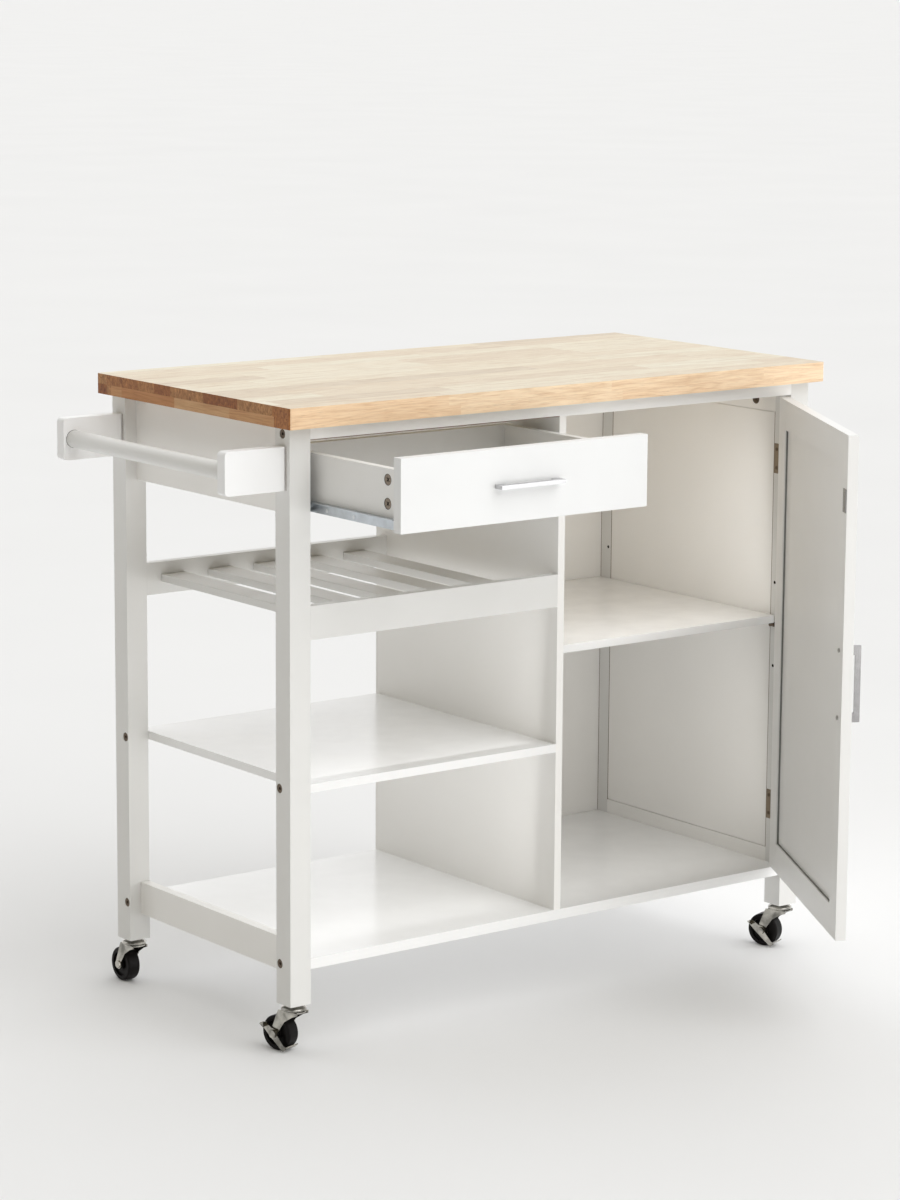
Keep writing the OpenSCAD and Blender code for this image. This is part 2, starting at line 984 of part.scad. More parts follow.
// Every second knuckle, from the first one or from the one above it
module knuckles(first) {
    for (i = [first : 2 : knuckle_count - 1])
        translate([pin_x, pin_y, i * knuckle_step + knuckle_gap / 2])
            cylinder(r = knuckle_radius, h = knuckle_step - knuckle_gap);
}

// Cuts a leaf away beside the other leaf's knuckles
module knuckle_reliefs(first) {
    room = knuckle_radius + 0.5;
    for (i = [first : 2 : knuckle_count - 1])
        translate([pin_x - room, pin_y - room, i * knuckle_step - knuckle_gap / 2])
            cube([2 * room, 2 * room, knuckle_step + knuckle_gap]);
}

module leaf(low_x, width, first) {
    difference() {
        union() {
            difference() {
                translate([low_x, pin_y, 0]) cube([leaf_thick, width, hinge_height]);
                knuckle_reliefs(1 - first);
            }
            knuckles(first);
        }
        translate([pin_x, pin_y, -cut])
            cylinder(r = hinge_bore_radius, h = hinge_height + 2 * cut);
    }
}

module leaf_screw_holes(x, y) {
    for (rise = [-leaf_screw_rise, leaf_screw_rise])
        translate([x - cut, y, hinge_height / 2 + rise]) rod_x(screw_shank + 0.1, 2 * cut + leaf_thick);
}

module hinge_pins() {
    tip = 1;
    for (z = hinge_zs) translate([pin_x, pin_y, z - hinge_height / 2 - tip])
        cylinder(r = hinge_pin_radius, h = hinge_height + 2 * tip);
}

module hinge_leaves_frame() {
    color(bronze) {
        for (z = hinge_zs) translate([0, 0, z - hinge_height / 2]) difference() {
            leaf(bay_right - leaf_thick, frame_leaf_width, 0);
            leaf_screw_holes(bay_right - leaf_thick, frame_leaf_screw_y);
        }
        hinge_pins();
    }
}

module hinge_leaves_door() {
    color(bronze) on_door() for (z = hinge_zs)
        translate([0, 0, z - hinge_height / 2]) difference() {
            leaf(door_right, door_leaf_width, 1);
            leaf_screw_holes(door_right, door_leaf_screw_y);
        }
}

// Screws of the hinges' door leaves, of the handle and of the strike plate
module door_fixings() {
    color(bronze) on_door() {
        for (z = hinge_zs, rise = [-leaf_screw_rise, leaf_screw_rise])
            translate([door_right + leaf_thick, door_leaf_screw_y, z + rise])
                rotate([0, 90, 0]) small_screw(11);
        at_door_handle() handle_screws(door_thickness);
        for (rise = [-strike_screw_rise, strike_screw_rise])
            translate([strike_left + strike_width / 2, door_back + strike_thick, catch_z + rise])
                rotate([-90, 0, 0]) small_screw(9);
    }
}

// ---- Catch ----

module magnetic_catch() {
    front = door_back + strike_thick + screw_head_thick + 0.4;
    color("white") difference() {
        block(
            [divider_right, front, catch_z - catch_height / 2],
            [divider_right + catch_width, front + catch_depth, catch_z + catch_height / 2]
        );
        block(
            [divider_right + 5, front - cut, catch_z - 11],
            [divider_right + 13, front + 0.6, catch_z + 11]
        );
    }
}

module strike_plate() {
    color(zinc) on_door() difference() {
        block(
            [strike_left, door_back, catch_z - strike_height / 2],
            [strike_left + strike_width, door_back + strike_thick, catch_z + strike_height / 2]
        );
        for (rise = [-strike_screw_rise, strike_screw_rise])
            translate([strike_left + strike_width / 2, door_back - cut, catch_z + rise])
                rod_y(screw_shank + 0.1, strike_thick + 2 * cut);
    }
}

// ---- Towel bar ----

// A bracket's plan, drawn from its outer end to the leg, seen from above
module bracket_plan() {
    outer = frame_left - bracket_reach;
    polygon([
        [outer, 0],
        [frame_left - bracket_chamfer, 0],
        [frame_left, bracket_chamfer],
        [frame_left, bracket_thickness - bracket_chamfer],
        [frame_left - bracket_chamfer, bracket_thickness],
        [outer, bracket_thickness]
    ]);
}

module bracket_blank() {
    intersection() {
        linear_extrude(bar_height + bracket_height) bracket_plan();
        translate([frame_left - bracket_reach, bracket_thickness + cut, bracket_bottom])
            rotate([90, 0, 0]) linear_extrude(bracket_thickness + 2 * cut) {
                soft_rect(bracket_reach - bracket_corner, bracket_height, bracket_corner);
                translate([bracket_corner, 0])
                    square([bracket_reach - bracket_corner, bracket_height]);
            }
    }
}

module towel_bracket_front() {
    color(paint) difference() {
        translate([0, bracket_front_y, 0]) bracket_blank();
        translate([bar_x, bracket_front_y + bracket_thickness - bar_socket, bar_height])
            rod_y(bar_diameter / 2 + bar_socket_gap, bar_socket + cut);
    }
}

module towel_bracket_back() {
    color(paint) difference() {
        translate([0, bracket_back_y, 0]) bracket_blank();
        translate([bar_x, bracket_back_y - cut, bar_height])
            rod_y(bar_diameter / 2 + bar_socket_gap, bar_socket + cut);
    }
}

module towel_bar() {
    low = bracket_front_y + bracket_thickness - bar_socket + 0.5;
    high = bracket_back_y + bar_socket - 0.5;
    color(paint) translate([bar_x, low, bar_height]) rod_y(bar_diameter / 2, high - low, $fn = 96);
}

// ---- Casters ----

module at_caster(column, row, yaw) {
    translate([swivel_x[column], swivel_y[row], 0]) rotate([0, 0, yaw]) children();
}

// The fixed stem: king pin with its foot, upper race and lock nut
module caster_stem() {
    foot = 2.4;
    low = fork_top - fork_steel - foot;
    translate([0, 0, low]) cylinder(r = king_radius, h = caster_height + stem_insert - low);
    translate([0, 0, low - 0.4]) cylinder(r = 6.5, h = foot);
    translate([0, 0, fork_top + 0.5]) rotate_extrude() polygon([
        [0, 0], [race_radius - 1.5, 0], [race_radius, 1], [race_radius, 3],
        [race_radius - 1.5, 4.6], [11, 5.8], [0, 5.8]
    ]);
    translate([0, 0, fork_top + 6]) cylinder(r = 7.5, h = caster_height - fork_top - 6, $fn = 6);
}

module caster_stems() {
    color(zinc) for (column = [0, 1], row = [0, 1])
        translate([swivel_x[column], swivel_y[row], 0]) caster_stem();
}

// Outline of a fork's cheek in the XZ plane
module cheek_outline() {
    polygon([
        [-16, fork_top], [17.5, fork_top], [21, fork_top - 8], [caster_trail + 6.5, wheel_radius + 3],
        [caster_trail, wheel_radius - 4], [caster_trail - 6.3, wheel_radius + 3],
        [6, fork_top - 16], [-8, fork_top - 7], [-16, fork_top - 4]
    ]);
    translate([caster_trail, wheel_radius]) circle(r = 7);
}

module caster_fork() {
    difference() {
        union() {
            for (side = [0, 1]) mirror([0, side, 0])
                translate([0, fork_outer, 0]) rotate([90, 0, 0])
                    linear_extrude(fork_steel) cheek_outline();
            intersection() {
                translate([0, 0, fork_top - fork_steel]) cylinder(r = race_radius, h = fork_steel);
                translate([-race_radius, -fork_outer, 0])
                    cube([2 * race_radius, 2 * fork_outer, 2 * fork_top]);
            }
            translate([0, 0, fork_top - fork_steel]) cylinder(r = fork_outer + 1.5, h = fork_steel);
        }
        translate([0, 0, fork_top - 2 * fork_steel])
            cylinder(r = king_bore, h = 3 * fork_steel);
        translate([caster_trail, -fork_outer - cut, wheel_radius])
            rod_y(axle_bore, 2 * fork_outer + 2 * cut);
    }
}

// The axle bolt: its nut on one side and its round head on the other, outside the brake's boss
module caster_axle(braked) {
    nut_face = -fork_outer;
    head_face = braked ? brake_outer + 1.3 : fork_outer;
    translate([caster_trail, 0, wheel_radius]) {
        rod_y_at(nut_face, axle_radius, head_face - nut_face);
        rod_y_at(nut_face - 3, 5.5, 3, $fn = 6);
        rod_y_at(head_face, 5.5, 2);
    }
}

module fork_set(column, row, yaw) {
    color(zinc) at_caster(column, row, yaw) {
        caster_fork();
        caster_axle(row == 0);
    }
}

module caster_fork_fl() {
    fork_set(0, 0, yaw_fl);
}

module caster_fork_fr() {
    fork_set(1, 0, yaw_fr);
}

module caster_fork_bl() {
    fork_set(0, 1, yaw_bl);
}

module caster_fork_br() {
    fork_set(1, 1, yaw_br);
}

// Half section of a wheel: radius along X and width along Y
module wheel_section() {
    half = wheel_width / 2;
    round = tread_round;
    hub = 9;
    dish = 3;
    translate([axle_bore, -half]) square([hub - axle_bore, wheel_width]);
    translate([hub - 1, -half + dish])
        square([wheel_radius - round - hub + 1.5, wheel_width - 2 * dish]);
    translate([wheel_radius - 7, -half]) square([7 - round, wheel_width]);
    translate([wheel_radius - round - 0.5, -half + round])
        square([round + 0.5, wheel_width - 2 * round]);
    for (side = [-1, 1]) translate([wheel_radius - round, side * (half - round)])
        circle(r = round);
}

module wheel_set(column, row, yaw) {
    color(black) at_caster(column, row, yaw)
        translate([caster_trail, 0, wheel_radius]) rotate([90, 0, 0])
            rotate_extrude($fn = 96) wheel_section();
}

module caster_wheel_fl() {
    wheel_set(0, 0, yaw_fl);
}

module caster_wheel_fr() {
    wheel_set(1, 0, yaw_fr);
}

module caster_wheel_bl() {
    wheel_set(0, 1, yaw_bl);
}

module caster_wheel_br() {
    wheel_set(1, 1, yaw_br);
}

// A brake lever rocks on the axle, beside the fork: a toe tab above and behind, and a shoe
// that lies across the tread below and in front
module brake_arm() {
    polygon([
        [-4, 6.5], [4, 8], brake_toe + [-2, 3], brake_toe + [3, 1], brake_toe + [2, -5],
        [8, -3], [3, -7], brake_shoe + [4, -3.5], brake_shoe + [-2, 0], [-7, -2]
    ]);
}

module brake_lever() {
    translate([caster_trail, 0, wheel_radius]) {
        difference() {
            union() {
                translate([0, brake_inner + brake_steel, 0]) rotate([90, 0, 0])
                    linear_extrude(brake_steel) brake_arm();
                rod_y_at(brake_inner, 6, brake_steel + 1);
            }
            rod_y_at(0, axle_bore, fork_outer + 10);
        }
        translate([brake_toe[0] - 3, brake_inner, brake_toe[1] - 4]) rotate([0, -38, 0])
            cube([brake_tab, brake_tab, brake_steel]);
        translate([brake_shoe[0] - 2.1, -fork_inner, brake_shoe[1] + 2.6]) rotate([0, 43, 0])
            cube([brake_shoe_width, fork_inner + brake_outer, brake_steel]);
    }
}

module caster_brake_fl() {
    color(zinc) at_caster(0, 0, yaw_fl) brake_lever();
}

module caster_brake_fr() {
    color(zinc) at_caster(1, 0, yaw_fr) brake_lever();
}

place() worktop();
place() leg_front_left();
place() leg_front_right();
place() leg_back_left();
place() leg_back_right();
place() top_rail_front();
place() top_rail_back();
place() side_apron_left();
place() lower_rail_left();
place() side_panel_right();
place() upper_rail_right();
place() lower_rail_right();
place() back_apron();
place() divider();
place() bottom_shelf();
place() left_shelf();
place() rack_rail_front();
place() rack_rail_back();
place() rack_slats();
place() back_panel();
place() cupboard_shelf();
place() shelf_pins();
place() frame_bolts();
place() carcass_fixings();
place() drawer_front();
place() drawer_side_left();
place() drawer_side_right();
place() drawer_back();
place() drawer_bottom();
place() drawer_handle();
place() drawer_fixings();
place() cabinet_runners();
place() drawer_runners();
place() front_rollers();
place() rear_rollers();
place() door_stile_hinge();
place() door_stile_handle();
place() door_rail_top();
place() door_rail_bottom();
place() door_panel();
place() door_handle();
place() door_fixings();
place() strike_plate();
place() magnetic_catch();
place() hinge_leaves_frame();
place() hinge_leaves_door();
place() towel_bracket_front();
place() towel_bracket_back();
place() towel_bar();
place() caster_stems();
place() caster_fork_fl();
place() caster_fork_fr();
place() caster_fork_bl();
place() caster_fork_br();
place() caster_wheel_fl();
place() caster_wheel_fr();
place() caster_wheel_bl();
place() caster_wheel_br();
place() caster_brake_fl();
place() caster_brake_fr();
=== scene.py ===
"""Kitchen island cart: the materials, fine shapes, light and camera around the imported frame.

Everything is in metres in the row frame: +X runs along the worktop from its towel bar end,
+Y from the front to the back, +Z up, and the floor is at zero.
"""

import json
import math

import bpy
from mathutils import Matrix, Vector


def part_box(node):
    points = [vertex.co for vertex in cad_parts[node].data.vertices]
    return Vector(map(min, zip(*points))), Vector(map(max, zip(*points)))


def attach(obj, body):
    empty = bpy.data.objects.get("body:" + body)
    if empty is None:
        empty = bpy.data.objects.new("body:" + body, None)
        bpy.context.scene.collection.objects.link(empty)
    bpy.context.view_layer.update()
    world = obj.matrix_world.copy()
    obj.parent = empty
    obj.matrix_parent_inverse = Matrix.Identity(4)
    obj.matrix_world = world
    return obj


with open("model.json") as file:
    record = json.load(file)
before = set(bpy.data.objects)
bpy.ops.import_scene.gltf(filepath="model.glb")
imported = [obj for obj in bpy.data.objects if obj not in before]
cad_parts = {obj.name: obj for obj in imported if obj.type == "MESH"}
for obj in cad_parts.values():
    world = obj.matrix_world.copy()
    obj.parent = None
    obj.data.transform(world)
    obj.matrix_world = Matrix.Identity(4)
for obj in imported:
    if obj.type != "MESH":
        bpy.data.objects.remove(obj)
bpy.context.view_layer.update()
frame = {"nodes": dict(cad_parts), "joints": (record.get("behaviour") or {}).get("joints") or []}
NODES = frame["nodes"]
MM = 0.001
STAVE = 0.042  # width of the worktop's staves
BLOCK = 0.29  # length of the blocks a stave is joined from
BATTEN = 0.044  # width of the battens under the worktop's ends
CORNER = BATTEN * 0.86  # where the end battens meet the front and back battens
FACES = 0.7  # a surface that faces an axis more than this counts as one of its faces
# One white lacquer in lit and shaded copies: each part's tint, from the darker frame white to the
# paler shelf white, is painted light or painted shade for how brightly that part is lit.
FRAME_WHITE = (0.785, 0.78, 0.76)
FRONT_WHITE = (0.83, 0.835, 0.835)
BRACKET_WHITE = (0.92, 0.92, 0.92)
LEAF_WHITE = (0.88, 0.876, 0.862)
BOARD_WHITE = (0.935, 0.922, 0.895)
SHELF_WHITE = (0.95, 0.95, 0.945)


# ---- Node helpers ----


def start_material(name):
    """A new node material; returns it with its tree and its Principled shader."""
    material = bpy.data.materials.new(name)
    material.use_nodes = True
    tree = material.node_tree
    return material, tree, tree.nodes["Principled BSDF"]


def add(tree, kind, settings=None, **inputs):
    """Adds a node. Settings are its properties; inputs are values or sockets by input name."""
    node = tree.nodes.new("ShaderNode" + kind)
    for key, value in (settings or {}).items():
        setattr(node, key, value)
    for key, value in inputs.items():
        put(tree, node.inputs[key.replace("_", " ")], value)
    return node


def put(tree, socket, value):
    """Sets a socket to a value, or links it to another socket."""
    if isinstance(value, bpy.types.NodeSocket):
        tree.links.new(value, socket)
    else:
        socket.default_value = value


def math_node(tree, operation, first, second=0.0, third=0.0):
    node = tree.nodes.new("ShaderNodeMath")
    node.operation = operation
    for index, value in enumerate((first, second, third)):
        put(tree, node.inputs[index], value)
    return node.outputs[0]


def vector_node(tree, operation, first, second=(0, 0, 0)):
    node = tree.nodes.new("ShaderNodeVectorMath")
    node.operation = operation
    put(tree, node.inputs[0], first)
    put(tree, node.inputs[1], second)
    return node.outputs[0]


def scaled(tree, vector, scale):
    return vector_node(tree, "MULTIPLY", vector, scale)


def place_coordinates(tree):
    """Row frame coordinates at rest, which travel with their body."""
    return tree.nodes.new("ShaderNodeTexCoord").outputs["Object"]


def stretched(tree, scale):
    """Object coordinates times a scale for each axis."""
    return scaled(tree, place_coordinates(tree), scale)


def noise(tree, vector, scale=1.0, detail=3.0, roughness=0.5, distortion=0.0):
    return add(
        tree,
        "TexNoise",
        Vector=vector,
        Scale=scale,
        Detail=detail,
        Roughness=roughness,
        Distortion=distortion,
    ).outputs["Fac"]


def ramp(tree, factor, stops, interpolation="LINEAR"):
    """A colour ramp from (position, colour) pairs; a colour may be one grey number."""
    node = tree.nodes.new("ShaderNodeValToRGB")
    node.color_ramp.interpolation = interpolation
    elements = node.color_ramp.elements
    while len(elements) < len(stops):
        elements.new(0.5)
    for element, (position, colour) in zip(elements, stops):
        element.position = position
        grey = isinstance(colour, (int, float))
        element.color = (colour,) * 3 + (1,) if grey else (*colour, 1)
    put(tree, node.inputs["Fac"], factor)
    return node.outputs["Color"]


def mix_colour(tree, factor, first, second, blend="MIX"):
    node = tree.nodes.new("ShaderNodeMix")
    node.data_type = "RGBA"
    node.blend_type = blend
    put(tree, node.inputs[0], factor)
    for index, value in ((6, first), (7, second)):
        if isinstance(value, tuple) and len(value) == 3:
            value = (*value, 1)
        put(tree, node.inputs[index], value)
    return node.outputs[2]


def bump(tree, height, strength, distance, normal=None):
    node = add(tree, "Bump", Height=height, Strength=strength, Distance=distance)
    if normal is not None:
        put(tree, node.inputs["Normal"], normal)
    return node.outputs["Normal"]


def split(tree, vector):
    """The three parts of a vector."""
    parts = tree.nodes.new("ShaderNodeSeparateXYZ")
    put(tree, parts.inputs[0], vector)
    return parts.outputs[:3]


def join(tree, x, y, z):
    node = tree.nodes.new("ShaderNodeCombineXYZ")
    for index, value in enumerate((x, y, z)):
        put(tree, node.inputs[index], value)
    return node.outputs[0]


def choose(tree, mask, first, second):
    """The first value where the mask is 0 and the second where it is 1."""
    node = tree.nodes.new("ShaderNodeMix")
    node.data_type = "FLOAT"
    put(tree, node.inputs[0], mask)
    put(tree, node.inputs[2], first)
    put(tree, node.inputs[3], second)
    return node.outputs[0]


def faces(tree, axis):
    """1 on the surfaces that face an object axis, either way, and 0 elsewhere."""
    normal = tree.nodes.new("ShaderNodeTexCoord").outputs["Normal"]
    along = math_node(tree, "ABSOLUTE", split(tree, normal)[axis])
    return math_node(tree, "GREATER_THAN", along, FACES)


# ---- Materials ----


def white_lacquer(name, tint, grain_axis=None, gloss=0.345):
    """Sprayed satin lacquer. With a grain axis, the wood's grain shows faintly through it."""
    material, tree, shader = start_material(name)
    broad = noise(tree, stretched(tree, (7, 7, 7)), detail=2)
    darker = tuple(0.975 * channel for channel in tint)
    put(tree, shader.inputs["Base Color"], ramp(tree, broad, [(0.3, darker), (0.7, tint)]))
    patches = noise(tree, stretched(tree, (23, 23, 23)), detail=2)
    sheen = [(0.3, gloss - 0.035), (0.72, gloss + 0.045)]
    put(tree, shader.inputs["Roughness"], ramp(tree, patches, sheen))
    if grain_axis is not None:
        scale = [430, 430, 430]
        scale[grain_axis] = 9
        fibres = noise(tree, stretched(tree, tuple(scale)), detail=4, roughness=0.6)
        put(tree, shader.inputs["Normal"], bump(tree, fibres, 0.12, 0.10 * MM))
    return material


def block_code(tree, along, across, layer):
    """Cuts a board into staves and blocks. Returns a random value and a random colour for each
    block. along and across are positions in metres."""
    row = math_node(tree, "FLOOR", math_node(tree, "DIVIDE", across, STAVE))
    seed = 7.3
    start = white_noise(tree, row, layer, seed).outputs["Value"]
    steps = math_node(tree, "ADD", math_node(tree, "DIVIDE", along, BLOCK), start)
    block = math_node(tree, "FLOOR", steps)
    code = white_noise(tree, row, block, layer)
    return code.outputs["Value"], code.outputs["Color"]


def white_noise(tree, x, y, z):
    return add(tree, "TexWhiteNoise", {"noise_dimensions": "3D"}, Vector=join(tree, x, y, z))


def inset(tree, value, low, high):
    """How far a position lies inside the nearer of two limits."""
    from_low = math_node(tree, "SUBTRACT", value, low)
    return math_node(tree, "MINIMUM", from_low, math_node(tree, "SUBTRACT", high, value))


def wood_layout(tree):
    """The worktop's blocks. Returns the mask of the end battens, a random value for each block,
    and coordinates along the grain, moved by another random amount for each block."""
    low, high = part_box("worktop")
    x, y, z = split(tree, place_coordinates(tree))
    lower = math_node(tree, "LESS_THAN", z, (low.z + high.z) / 2)
    by_end = math_node(tree, "LESS_THAN", inset(tree, x, low.x, high.x), BATTEN)
    between = math_node(tree, "GREATER_THAN", inset(tree, y, low.y, high.y), CORNER)
    # The end battens run across, between the front and back battens.
    crosswise = math_node(tree, "MULTIPLY", math_node(tree, "MULTIPLY", lower, by_end), between)
    along = choose(tree, crosswise, x, y)
    across = choose(tree, crosswise, y, x)
    # The end battens are cut into shorter blocks.
    pace = choose(tree, crosswise, along, math_node(tree, "MULTIPLY", along, 2.1))
    value, code = block_code(tree, pace, math_node(tree, "SUBTRACT", across, low.y), lower)
    shift = scaled(tree, code, (31, 17, 23))
    return crosswise, value, vector_node(tree, "ADD", join(tree, along, across, z), shift)


def wood_tone(tree, value, upper):
    """Each block's own colour, with painted light: the front and back faces are painted paler as a
    painted highlight, rising towards the right with the wood's own paler tone there, and the upper
    face is mixed toward a grey-green cream as a painted sheen."""
    oiled = [
        (0.0, (0.64, 0.36, 0.16)),
        (0.2, (0.80, 0.51, 0.27)),
        (0.5, (0.90, 0.66, 0.41)),
        (0.85, (0.97, 0.81, 0.59)),
    ]
    # Painted highlight: the front and back faces are mixed toward a pale gold, more so towards the
    # right.
    paler = math_node(tree, "MULTIPLY_ADD", split(tree, place_coordinates(tree))[0], 0.34, 0.66)
    edge = math_node(tree, "MULTIPLY", faces(tree, 1), paler)
    tone = mix_colour(tree, edge, ramp(tree, value, oiled), (0.98, 0.79, 0.575))
    # Painted sheen: the upper face is mixed toward a pale grey-green, for the room's reflection in
    # it.
    painted_top_sheen = math_node(tree, "MULTIPLY", upper, 0.58)
    return mix_colour(tree, painted_top_sheen, tone, (0.61, 0.635, 0.52))


def long_grain(tree, tone, moved, fibres, pits):
    """Growth bands, fibres and pores along the grain."""
    bend = noise(tree, scaled(tree, moved, (4.5, 9, 9)), detail=2)
    sway, rise = math_node(tree, "MULTIPLY", bend, 0.035), math_node(tree, "MULTIPLY", bend, 0.02)
    log = vector_node(tree, "ADD", moved, join(tree, 0.0, sway, rise))
    growth = noise(tree, scaled(tree, log, (1.6, 26, 40)), detail=2, distortion=0.3)
    waves = math_node(tree, "PINGPONG", math_node(tree, "MULTIPLY", growth, 10.0), 0.5)
    late, early = (0.74, 0.62, 0.50), (1.06, 1.05, 1.03)
    bands = ramp(tree, waves, [(0.0, late), (0.25, (0.95, 0.92, 0.88)), (0.5, early)])
    streaks = ramp(tree, fibres, [(0.28, (0.70, 0.50, 0.35)), (0.56, (1.03, 1.03, 1.03))])
    colour = mix_colour(tree, 0.36, tone, bands, "MULTIPLY")
    colour = mix_colour(tree, 0.55, colour, streaks, "MULTIPLY")
    return mix_colour(tree, 0.4, colour, pits, "MULTIPLY")


def end_grain(tree, tone, moved):
    """End grain drinks the oil: darker and redder, with rings and dots in place of streaks."""
    growth = noise(tree, scaled(tree, moved, (3, 210, 150)), detail=4, distortion=0.9)
    bands = ramp(tree, growth, [(0.3, (0.27, 0.135, 0.06)), (0.7, (0.62, 0.38, 0.20))])
    dots = noise(tree, scaled(tree, moved, (900, 900, 900)), detail=2)
    dotted = mix_colour(tree, 0.6, bands, ramp(tree, dots, [(0.3, 0.6), (0.5, 1.0)]), "MULTIPLY")
    return mix_colour(tree, 1.0, tone, dotted, "MULTIPLY")


def worktop_wood():
    """Oiled finger-jointed board: an upper ply of staves along X over a ring of battens."""
    material, tree, shader = start_material("worktop_wood")
    crosswise, value, moved = wood_layout(tree)
    upper = faces(tree, 2)
    tone = wood_tone(tree, value, upper)
    fibres = noise(tree, scaled(tree, moved, (30, 700, 700)), detail=5, roughness=0.62)
    pores = noise(tree, scaled(tree, moved, (65, 1400, 1400)), detail=2)
    pits = ramp(tree, pores, [(0.29, 0.5), (0.37, 1.0)])
    colour = long_grain(tree, tone, moved, fibres, pits)
    end = math_node(tree, "MULTIPLY", faces(tree, 0), math_node(tree, "SUBTRACT", 1.0, crosswise))
    colour = mix_colour(tree, end, colour, end_grain(tree, tone, moved))
    # Painted shade: the end battens are darkened toward brown.
    shade = mix_colour(tree, crosswise, (1, 1, 1), (0.64, 0.46, 0.31))
    colour = mix_colour(tree, 1.0, colour, shade, "MULTIPLY")
    # Fine brown dashes show in the upper face.
    flecks = noise(tree, scaled(tree, moved, (9, 170, 170)), detail=3)
    dashes = ramp(tree, flecks, [(0.32, (0.80, 0.66, 0.52)), (0.40, (1, 1, 1))])
    dashed = math_node(tree, "MULTIPLY", upper, 0.7)
    put(tree, shader.inputs["Base Color"], mix_colour(tree, dashed, colour, dashes, "MULTIPLY"))
    put(tree, shader.inputs["Roughness"], ramp(tree, fibres, [(0.3, 0.38), (0.7, 0.29)]))
    shader.inputs["Specular IOR Level"].default_value = 0.25
    normal = bump(tree, pits, 0.25, 0.15 * MM)
    put(tree, shader.inputs["Normal"], bump(tree, fibres, 0.22, 0.12 * MM, normal))
    return material


def metal(name, colour, roughness, brushed=None, mottle_and_reflection_dark=0.86):
    """A metal finish. A brushed axis draws fine lines along that axis. The last argument is how
    dark its clouds are: a faint mottle in the metal, and where it is set low, as on the zinc,
    painted reflections of the room's dark parts."""
    material, tree, shader = start_material(name)
    shader.inputs["Metallic"].default_value = 1.0
    clouds = noise(tree, stretched(tree, (60, 60, 60)), detail=4)
    darker = tuple(mottle_and_reflection_dark * channel for channel in colour)
    put(tree, shader.inputs["Base Color"], ramp(tree, clouds, [(0.36, darker), (0.64, colour)]))
    scale = [900, 900, 900]
    if brushed is not None:
        scale[brushed] = 14
    lines = noise(tree, stretched(tree, tuple(scale)), detail=4, roughness=0.6)
    low, high = roughness - 0.06, roughness + 0.06
    put(tree, shader.inputs["Roughness"], ramp(tree, lines, [(0.3, low), (0.7, high)]))
    put(tree, shader.inputs["Normal"], bump(tree, lines, 0.08, 0.05 * MM))
    return material


def plastic(name, colour, roughness, texture=300, shine=0.5):
    """Moulded plastic, or a bare dull surface, with a fine texture."""
    material, tree, shader = start_material(name)
    clouds = noise(tree, stretched(tree, (40, 40, 40)), detail=3)
    lighter = tuple(min(1, 1.25 * channel + 0.004) for channel in colour)
    put(tree, shader.inputs["Base Color"], ramp(tree, clouds, [(0.3, colour), (0.75, lighter)]))
    grain = noise(tree, stretched(tree, (texture,) * 3), detail=3)
    low, high = roughness - 0.05, roughness + 0.07
    put(tree, shader.inputs["Roughness"], ramp(tree, grain, [(0.3, low), (0.7, high)]))
    put(tree, shader.inputs["Normal"], bump(tree, grain, 0.1, 0.1 * MM))
    shader.inputs["Specular IOR Level"].default_value = shine
    return material


def fixing_metal():
    """The drawer's fixings: bronze cam locks whose recessed cross is painted near black as painted
    shade, and zinc runner screws.
    """
    material, tree, shader = start_material("drawer_fixing_metal")
    shader.inputs["Metallic"].default_value = 1.0
    left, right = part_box("drawer_side_left"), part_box("drawer_side_right")
    middle = (left[0].x + right[1].x) / 2
    reach = right[1].x - middle
    x, _, z = split(tree, place_coordinates(tree))
    offset = math_node(tree, "ABSOLUTE", math_node(tree, "SUBTRACT", x, middle))
    deep = math_node(tree, "LESS_THAN", offset, reach - 0.8 * MM)
    low = math_node(tree, "LESS_THAN", z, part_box("drawer_runners")[1].z)
    clouds = noise(tree, stretched(tree, (300, 300, 300)), detail=3)
    bronze = ramp(tree, clouds, [(0.3, (0.22, 0.18, 0.14)), (0.7, (0.30, 0.25, 0.20))])
    # Painted shade: the cam locks' recessed cross is coloured near black.
    bronze = mix_colour(tree, deep, bronze, (0.02, 0.016, 0.012))
    zinc = ramp(tree, clouds, [(0.3, (0.66, 0.68, 0.70)), (0.7, (0.82, 0.84, 0.86))])
    put(tree, shader.inputs["Base Color"], mix_colour(tree, low, bronze, zinc))
    put(tree, shader.inputs["Roughness"], ramp(tree, clouds, [(0.3, 0.32), (0.7, 0.42)]))
    return material


# ---- CAD nodes: edges and finishes ----


def dress(node, material, edge=0.0, segments=2):
    """Gives a CAD node its material, with softened edges of the given width in millimetres."""
    piece = NODES[node]
    piece.data.materials.clear()
    piece.data.materials.append(material)
    if edge:
        weld = piece.modifiers.new("weld", "WELD")
        weld.merge_threshold = 0.002 * MM
        soften = piece.modifiers.new("edges", "BEVEL")
        soften.width = edge * MM
        soften.segments = segments
        soften.limit_method = "ANGLE"
        soften.angle_limit = math.radians(35)


def dress_each(nodes, material, edge, segments=2):
    for node in nodes:
        dress(node, material, edge, segments)


